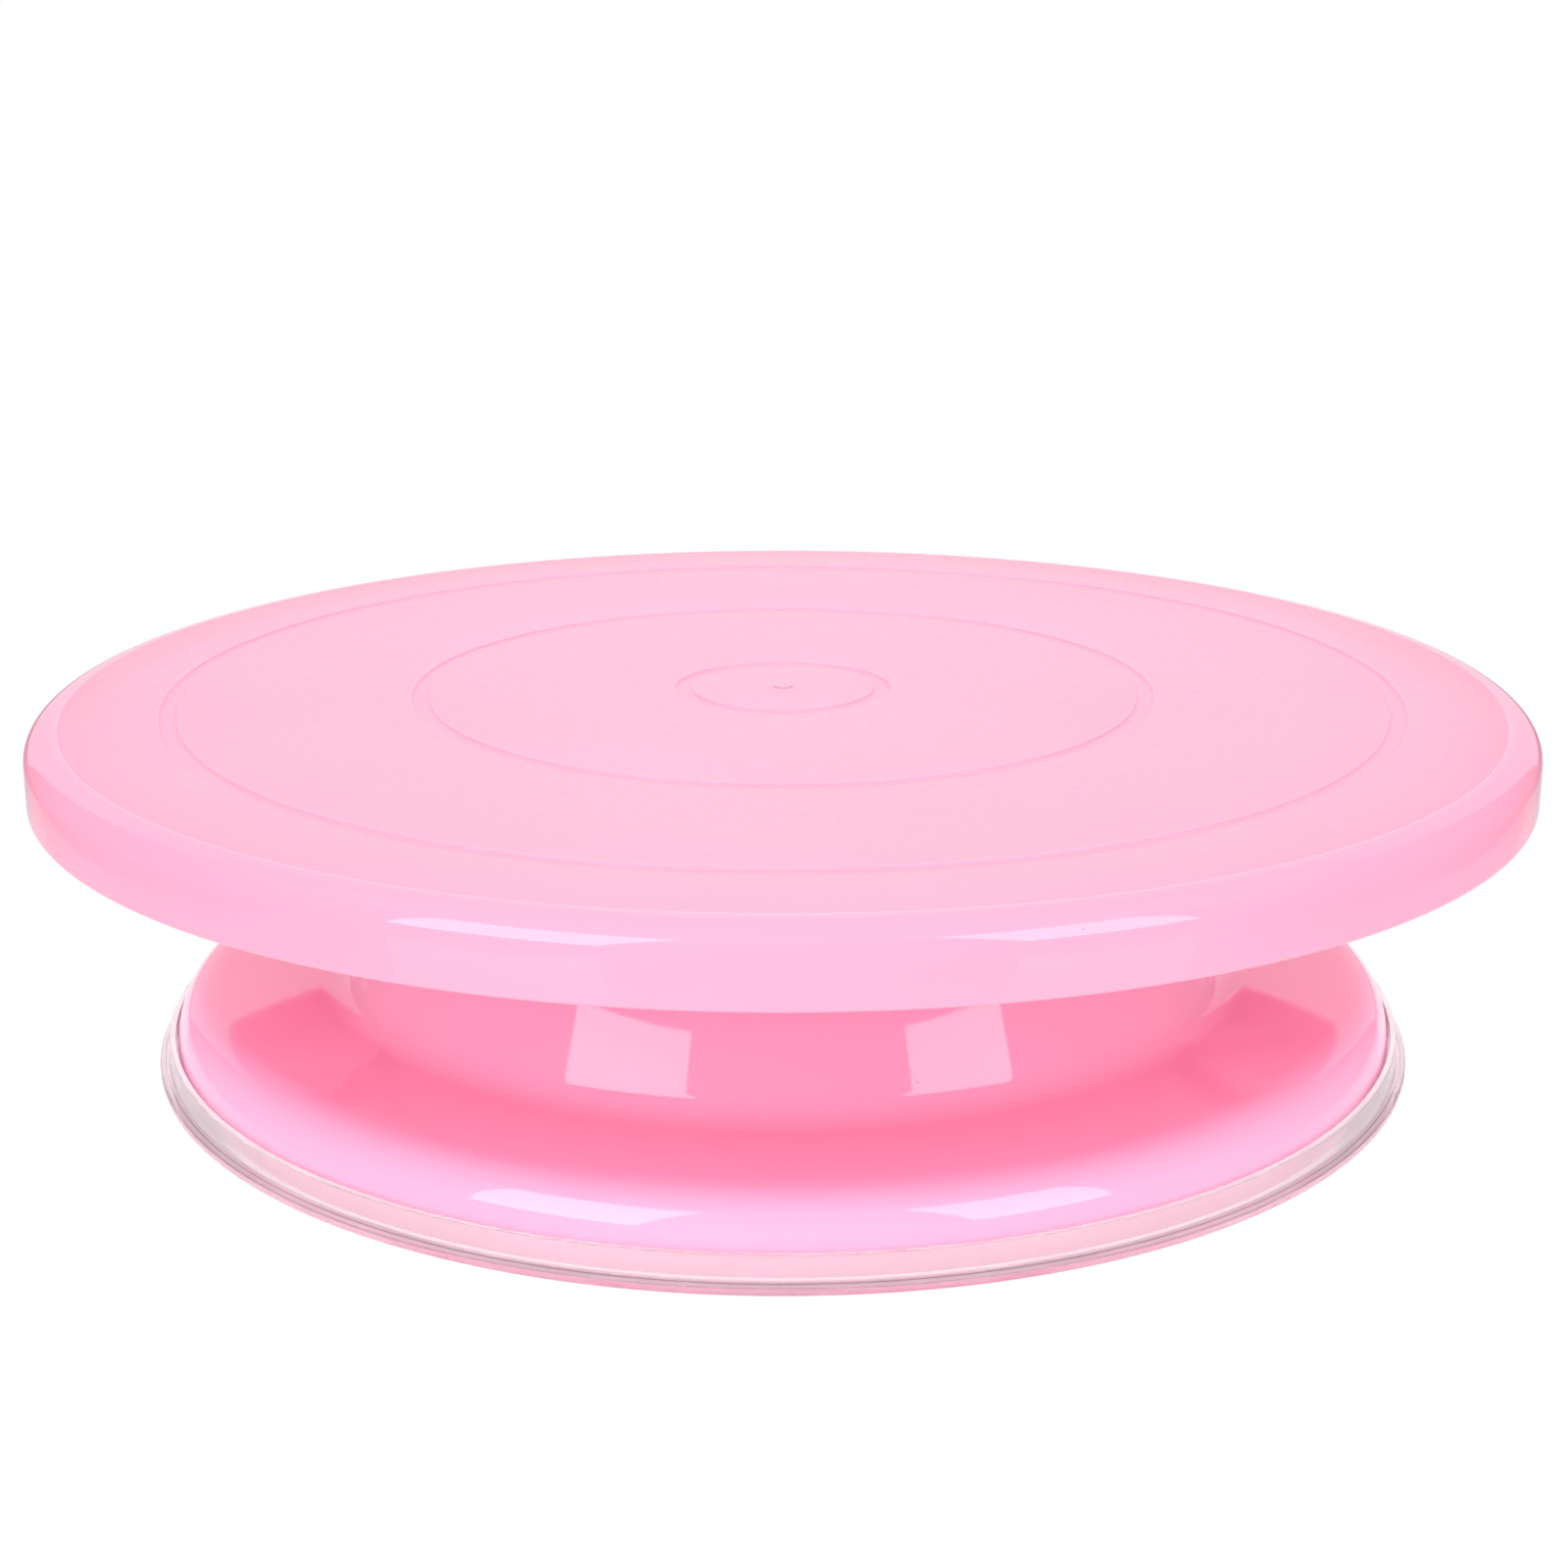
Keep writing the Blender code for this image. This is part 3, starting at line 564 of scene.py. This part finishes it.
def make_washer(zinc):
    hole = SCREW_RADIUS + GAP
    low, high, outer = WASHER_LOW.z, WASHER_HIGH.z, WASHER_HIGH.x
    soft = 0.25 * MM
    corners = [(hole, (low + high) / 2.0, 0.0), (hole, high, soft), (outer, high, soft),
               (outer, low, soft), (hole, low, soft), (hole, (low + high) / 2.0, 0.0)]
    washer = turned("washer_steel", rounded(corners, 4)[:-1], SMALL)
    paint(washer, zinc)
    place(washer, "plate", "zinc_steel", "retaining_washer")


def make_screw(zinc):
    """Pan-head screw, head down, with a cross slot."""
    head_radius = SCREW_HIGH.x
    head_low = SCREW_LOW.z
    head_high = WASHER_LOW.z - GAP
    point = 1.6 * MM
    outline = [(0.0, SCREW_HIGH.z, 0.0), (SCREW_RADIUS * 0.3, SCREW_HIGH.z, 0.0),
               (SCREW_RADIUS, SCREW_HIGH.z - point, 0.3 * MM), (SCREW_RADIUS, head_high, 0.0),
               (head_radius, head_high, 0.2 * MM), (head_radius, head_low, 1.9 * MM), (0.0, head_low, 0.0)]
    screw = turned("screw_steel", rounded(outline, 8), SMALL, closed=False)
    tip = SLOT_WING * 0.5
    for index, phase in enumerate((0.0, 90.0)):
        slot = rib_set("screw_slot_%d" % index, 1, (-SLOT_WING, -tip), (SLOT_WING, tip),
                       head_low - 0.5 * MM, head_low + SLOT_DEPTH, SLOT_WIDTH, phase)
        combine(screw, slot, 'DIFFERENCE')
    mark_sharp(screw.data)
    paint(screw, zinc)
    place(screw, "plate", "zinc_steel", "retaining_screw")


# ---------------------------------------------------------------- the ball cage
def make_balls(steel):
    mesh = bmesh.new()
    bmesh.ops.create_icosphere(mesh, subdivisions=4, radius=BALL_RADIUS)
    first = finish_mesh(mesh, "steel_ball_01", sharp_deg=180.0)
    paint(first, steel)
    for number in range(1, BALL_COUNT + 1):
        node = "ball_%02d" % number
        ball = first if number == 1 else link("steel_ball_%02d" % number, first.data)
        angle = math.tau * (number - 1) / BALL_COUNT
        ball.location = (PITCH_RADIUS * math.cos(angle), PITCH_RADIUS * math.sin(angle), BALL_HEIGHT)
        place(ball, node, "ball_steel", node)


def make_cage(nylon):
    """A flat ring with a round pocket for each ball."""
    inner = PITCH_RADIUS - (CAGE_HIGH.x - PITCH_RADIUS)
    outer = CAGE_HIGH.x
    soft = 0.3 * MM
    middle = (CAGE_LOW.z + CAGE_HIGH.z) / 2.0
    corners = [(inner, middle, 0.0), (inner, CAGE_HIGH.z, soft), (outer, CAGE_HIGH.z, soft),
               (outer, CAGE_LOW.z, soft), (inner, CAGE_LOW.z, soft), (inner, middle, 0.0)]
    cage = turned("ball_cage_nylon", rounded(corners, 4)[:-1], MEDIUM)
    mesh = bmesh.new()
    for index in range(BALL_COUNT):
        angle = math.tau * index / BALL_COUNT
        made = bmesh.ops.create_cone(mesh, cap_ends=True, segments=48, radius1=BALL_RADIUS + GAP,
                                     radius2=BALL_RADIUS + GAP, depth=10.0 * MM)
        centre = (PITCH_RADIUS * math.cos(angle), PITCH_RADIUS * math.sin(angle), BALL_HEIGHT)
        bmesh.ops.translate(mesh, verts=made["verts"], vec=centre)
    combine(cage, finish_mesh(mesh, "pockets"), 'DIFFERENCE')
    mark_sharp(cage.data)
    paint(cage, nylon)
    place(cage, "ball_cage", "cage_plastic", "ball_retainer")


# ---------------------------------------------------------------- the pedestal and what stands still
def drum_radius(height):
    """Outer radius of the conical drum at a height."""
    slope = (DRUM_FOOT_RADIUS - DRUM_TOP_RADIUS) / (DECK_TOP - FLANGE_TOP)
    return DRUM_FOOT_RADIUS - slope * (height - FLANGE_TOP)


def shell_outline():
    """The pedestal's section: out over the deck, down the drum, round the rim and back inside."""
    recess_inner = PITCH_RADIUS - RACE_HALF_WIDTH - GAP
    recess_outer = PITCH_RADIUS + RACE_HALF_WIDTH + GAP
    soft = 0.3 * MM
    flange_under = FLANGE_TOP - SHELL_WALL
    deck_under = DECK_TOP - SHELL_WALL
    seat_under = RACE_SEAT - SHELL_WALL
    foot_inner = FLANGE_RADIUS - SHELL_WALL
    seat_wall = recess_outer + SHELL_WALL
    deck = [(BORE_RADIUS, DECK_TOP - 1.0 * MM, 0.0), (BORE_RADIUS, DECK_TOP, soft),
            (recess_inner, DECK_TOP, soft), (recess_inner, RACE_SEAT, 0.0), (recess_outer, RACE_SEAT, 0.0),
            (recess_outer, DECK_TOP, soft), (DRUM_TOP_RADIUS, DECK_TOP, DRUM_TOP_ROUNDING),
            (DRUM_FOOT_RADIUS, FLANGE_TOP, DRUM_FOOT_ROUNDING), (RIM_START_RADIUS, FLANGE_TOP, 0.0)]
    rim = superellipse(RIM_START_RADIUS, RIM_SPRING, FLANGE_RADIUS - RIM_START_RADIUS,
                       FLANGE_TOP - RIM_SPRING, RIM_POWER, 36)
    inside = [(FLANGE_RADIUS, RIM_SPRING, 0.0), (FLANGE_RADIUS, SHELL_BOTTOM, 0.2 * MM),
              (foot_inner, SHELL_BOTTOM, 0.3 * MM), (foot_inner, flange_under, 7.0 * MM),
              (drum_radius(flange_under) - SHELL_WALL, flange_under, 2.0 * MM),
              (drum_radius(deck_under) - SHELL_WALL, deck_under, 2.0 * MM),
              (seat_wall, deck_under, 0.5 * MM), (seat_wall, seat_under, 0.5 * MM),
              (BORE_RADIUS + BOSS_WALL, seat_under, 0.8 * MM),
              (BORE_RADIUS + BOSS_WALL, BOSS_BOTTOM, 0.4 * MM),
              (BORE_RADIUS, BOSS_BOTTOM, 0.3 * MM), (BORE_RADIUS, DECK_TOP - 1.0 * MM, 0.0)]
    return rounded(deck, 10)[:-1] + rim[:-1] + rounded(inside, 8)[:-1]


def make_shell(polish):
    """The pedestal moulding with the ribs of its deck and its flange."""
    shell = turned("pedestal_shell", shell_outline(), FINE, sharp_deg=MOULDED_SHARP_DEG)
    seat_middle = PITCH_RADIUS + RACE_HALF_WIDTH + GAP + SHELL_WALL / 2.0
    boss_reach = BORE_RADIUS + BOSS_WALL - BITE
    rib_low = BOSS_BOTTOM + 1.0 * MM
    rib_high = DECK_TOP - SHELL_WALL + BITE
    into_wall = BITE - SHELL_WALL
    seat_ribs = rib_set("seat_ribs", BASE_SPOKES, (boss_reach, boss_reach),
                        (seat_middle + BITE, seat_middle + BITE),
                        rib_low, RACE_SEAT - BITE, BASE_RIB_THICKNESS, RIB_PHASE_DEG)
    deck_ribs = rib_set("deck_ribs", BASE_SPOKES, (seat_middle - BITE, seat_middle - BITE),
                        (drum_radius(rib_low) + into_wall, drum_radius(rib_high) + into_wall),
                        rib_low - BITE, rib_high, BASE_RIB_THICKNESS + BITE, RIB_PHASE_DEG)
    gusset_inner = DRUM_FOOT_RADIUS + into_wall
    gussets = rib_set("gussets", BASE_GUSSETS, (gusset_inner, gusset_inner),
                      (FLANGE_RADIUS + into_wall, RIM_START_RADIUS + 6.5 * MM), SHELL_BOTTOM + 5.0 * MM,
                      FLANGE_TOP - SHELL_WALL + BITE, BASE_RIB_THICKNESS, RIB_PHASE_DEG)
    for ribs in (seat_ribs, deck_ribs, gussets):
        combine(shell, ribs, 'UNION')
    mark_sharp(shell.data, MOULDED_SHARP_DEG)
    paint(shell, polish)
    place(shell, "base", "base_pink", "base_shell")


def make_ring(clear):
    """Soft channel round the shell's edge, with a bead at its foot."""
    outer = RING_HIGH.x
    top = RING_HIGH.z
    channel_outer = FLANGE_RADIUS + GAP
    channel_inner = FLANGE_RADIUS - SHELL_WALL - GAP
    inner = channel_inner - 1.3 * MM
    web = 1.2 * MM
    inner_top = 4.5 * MM
    corners = [(channel_outer, top - 1.0 * MM, 0.0), (channel_outer, top, 0.2 * MM),
               (outer - 1.9 * MM, top, 0.45 * MM), (outer - BEAD_REACH, 1.7 * MM, 0.15 * MM),
               (outer, 1.15 * MM, 0.2 * MM), (outer, 0.0, 0.15 * MM), (inner, 0.0, 0.3 * MM),
               (inner, inner_top, 0.5 * MM), (channel_inner, inner_top, 0.3 * MM),
               (channel_inner, web, 0.3 * MM), (channel_outer, web, 0.3 * MM),
               (channel_outer, top - 1.0 * MM, 0.0)]
    ring = turned("clear_ring", rounded(corners, 6)[:-1], FINE, sharp_deg=60.0)
    paint(ring, clear)
    place(ring, "base", "clear_soft_plastic", "anti_slip_ring")


def make_bush(acetal):
    inner = HUB_RADIUS + GAP
    outer = inner + 2.0 * MM
    flange = BUSH_HIGH.x
    flange_low = DECK_TOP + GAP
    soft = 0.3 * MM
    middle = (BUSH_LOW.z + BUSH_HIGH.z) / 2.0
    corners = [(inner, middle, 0.0), (inner, BUSH_HIGH.z, soft), (flange, BUSH_HIGH.z, soft),
               (flange, flange_low, soft), (outer, flange_low, 0.0), (outer, BUSH_LOW.z, soft),
               (inner, BUSH_LOW.z, soft), (inner, middle, 0.0)]
    bush = turned("hub_bush_acetal", rounded(corners, 4)[:-1], SMALL)
    paint(bush, acetal)
    place(bush, "base", "bush_acetal", "hub_bush")


# ---------------------------------------------------------------- studio
WHITE = (1.0, 1.0, 1.0, 1.0)
LIGHTS_AIM = Vector((0.0, 0.0, 0.05))   # what the lamps face


def glow(name, strength):
    """A white surface that only glows; strength is a number, or what picks one from the nodes."""
    recipe = Recipe(name, (0.0, 0.0, 0.0), 1.0, Emission_Color=WHITE, Specular_IOR_Level=0.0)
    if callable(strength):
        recipe.join(strength(recipe), recipe.shader.inputs["Emission Strength"])
    else:
        recipe.shader.inputs["Emission Strength"].default_value = strength
    return recipe.material


def show_to(obj, camera=False, diffuse=False, glossy=False):
    """Pick the rays that meet a piece of the studio."""
    obj.visible_camera = camera
    obj.visible_diffuse = diffuse
    obj.visible_glossy = glossy
    obj.visible_transmission = diffuse
    obj.visible_shadow = False


def panel(name, corners, material, **rays):
    """A flat four-cornered panel of the studio."""
    mesh = bmesh.new()
    mesh.faces.new([mesh.verts.new(corner) for corner in corners])
    made = finish_mesh(mesh, name)
    paint(made, material)
    show_to(made, **rays)


def for_reflections(tree, in_reflections, elsewhere):
    """One value in reflections and another everywhere else."""
    light = tree.nodes.new("ShaderNodeLightPath")
    bounced = tree.nodes.new("ShaderNodeMath")
    bounced.operation = 'SUBTRACT'
    mix = tree.nodes.new("ShaderNodeMix")
    tree.links.new(light.outputs["Is Glossy Ray"], bounced.inputs[0])
    tree.links.new(light.outputs["Is Transmission Ray"], bounced.inputs[1])
    tree.links.new(bounced.outputs["Value"], mix.inputs["Factor"])
    mix.inputs["A"].default_value = elsewhere
    tree.links.new(in_reflections, mix.inputs["B"])
    return mix.outputs["Result"]


def make_surroundings():
    """White all round for the camera; for the object a lit table and, in reflections, a board behind it."""
    mesh = bmesh.new()
    bmesh.ops.create_icosphere(mesh, subdivisions=3, radius=12.0)
    backdrop = finish_mesh(mesh, "backdrop")
    paint(backdrop, glow("backdrop_white", 1.0))
    show_to(backdrop, camera=True)

    table = Recipe("table_white", (0.20, 0.20, 0.20), 0.08, Emission_Color=WHITE)
    fading = table.spread(table.radius(), 0.70, 0.12, source_low=0.13, source_high=0.28)
    table.join(for_reflections(table.tree, fading, 1.0), table.shader.inputs["Emission Strength"])
    side = 0.27
    front, back = -1.0, 0.8
    level = -0.05 * MM
    panel("table", ((-side, front, level), (side, front, level), (side, back, level), (-side, back, level)),
          table.material, diffuse=True, glossy=True)

    def board_brightness(recipe):
        split = recipe.node("ShaderNodeSeparateXYZ")
        across = recipe.node("ShaderNodeMath", operation='ABSOLUTE')
        recipe.join(recipe.place, split.inputs["Vector"])
        recipe.join(split.outputs["X"], across.inputs[0])
        return recipe.spread(across.outputs["Value"], 1.25, 0.70, source_low=0.0, source_high=0.6)

    foot, head = 0.86, 1.32
    rise = 1.40
    behind = 1.0
    corners = ((-foot, behind, 0.0), (foot, behind, 0.0), (head, behind, rise), (-head, behind, rise))
    panel("back_board", corners, glow("board_white", board_brightness), glossy=True)


def make_world():
    """A pale room, dim in reflections up to its ceiling."""
    world = bpy.data.worlds.new("studio")
    world.use_nodes = True
    tree = world.node_tree
    coordinates = tree.nodes.new("ShaderNodeTexCoord")
    split = tree.nodes.new("ShaderNodeSeparateXYZ")
    ceiling = tree.nodes.new("ShaderNodeMapRange")
    for socket, value in (("From Min", 0.60), ("From Max", 0.85), ("To Min", 0.22), ("To Max", 0.90)):
        ceiling.inputs[socket].default_value = value
    tree.links.new(coordinates.outputs["Generated"], split.inputs["Vector"])
    tree.links.new(split.outputs["Z"], ceiling.inputs["Value"])
    tree.links.new(for_reflections(tree, ceiling.outputs["Result"], 0.94),
                   tree.nodes["Background"].inputs["Strength"])
    tree.nodes["Background"].inputs["Color"].default_value = WHITE
    bpy.context.scene.world = world


def direction(azimuth_deg, rise_deg):
    """Towards a light; azimuth 0 is straight in front."""
    azimuth, rise = math.radians(azimuth_deg), math.radians(rise_deg)
    return Vector((math.sin(azimuth) * math.cos(rise), -math.cos(azimuth) * math.cos(rise), math.sin(rise)))


def make_softbox(name, azimuth_deg, rise_deg, distance, width, height, radiance):
    """Soft light from a rectangle that faces the object, left out of reflections."""
    away = direction(azimuth_deg, rise_deg)
    data = bpy.data.lights.new(name, 'AREA')
    data.shape = 'RECTANGLE'
    data.size = width
    data.size_y = height
    data.energy = radiance * math.pi * width * height
    lamp = link(name, data)
    lamp.location = LIGHTS_AIM + away * distance
    lamp.rotation_euler = away.to_track_quat('Z', 'Y').to_euler()
    lamp.visible_camera = False
    lamp.visible_glossy = False


def facing_rectangle(azimuth_deg, rise_deg, distance, width, height):
    """Corners of a rectangle that faces the object."""
    away = direction(azimuth_deg, rise_deg)
    across = Vector((-away.y, away.x, 0.0)).normalized() * width / 2.0
    upward = away.cross(across).normalized() * height / 2.0
    return [LIGHTS_AIM + away * distance + across * x + upward * y
            for x, y in ((-1, -1), (1, -1), (1, 1), (-1, 1))]


def make_lights():
    """A lamp above and behind and two tall ones in front, which reflect as panels brighter low down."""
    def brightness(low, high):
        def strength(recipe):
            split = recipe.node("ShaderNodeSeparateXYZ")
            recipe.join(recipe.place, split.inputs["Vector"])
            return recipe.spread(split.outputs["Z"], low, high, source_low=0.90, source_high=1.25)
        return strength

    left_azimuth, right_azimuth = -40.2, 45.8
    distance = 3.0
    make_softbox("overhead", 180.0, 50.0, 1.4, width=1.2, height=0.8, radiance=1.4)
    make_softbox("front_left", left_azimuth, 30.0, distance, width=1.55, height=2.67, radiance=3.0)
    make_softbox("front_right", right_azimuth, 30.0, distance, width=1.31, height=2.67, radiance=2.8)
    left = facing_rectangle(left_azimuth, 34.0, distance, width=1.63, height=1.93)
    right = facing_rectangle(right_azimuth, 34.0, distance, width=1.38, height=1.93)
    panel("softbox_left", left, glow("softbox_left_white", brightness(5.4, 4.7)), glossy=True)
    panel("softbox_right", right, glow("softbox_right_white", brightness(5.0, 4.3)), glossy=True)


def make_camera():
    """Standing back from the axis and above the plate, looking down a little."""
    aside = 0.2 * MM
    back = 494.4 * MM
    above_top = 122.8 * MM
    down_deg = 16.04
    data = bpy.data.cameras.new("camera")
    data.sensor_width = 36.0
    data.lens = 61.37
    camera = link("camera", data)
    camera.location = (aside, -back, PLATE_TOP + above_top)
    camera.rotation_euler = (math.radians(90.0 - down_deg), 0.0, 0.0)
    bpy.context.scene.camera = camera


# ---------------------------------------------------------------- assembly
make_plate(satin_pink(), polished_pink("plate_polished_pink", (0.99, 0.356, 0.514), (0.985, 0.343, 0.500)))
# The pedestal's pink is a lighter copy of the plate's pink: painted light that makes up for the shade under
# the plate.
make_shell(polished_pink("base_pink_lightened_for_shade", (0.995, 0.430, 0.640), (0.99, 0.415, 0.625)))
make_ring(clear_soft_plastic())
make_races(turned_steel())
make_balls(ball_steel())
make_cage(natural_plastic("natural_nylon", (0.80, 0.79, 0.74), (0.76, 0.75, 0.69)))
make_bush(natural_plastic("natural_acetal", (0.86, 0.85, 0.82), (0.83, 0.82, 0.78)))
zinc = zinc_plate()
make_washer(zinc)
make_screw(zinc)

make_surroundings()
make_world()
make_lights()
make_camera()
bpy.context.scene.view_settings.view_transform = 'Standard'
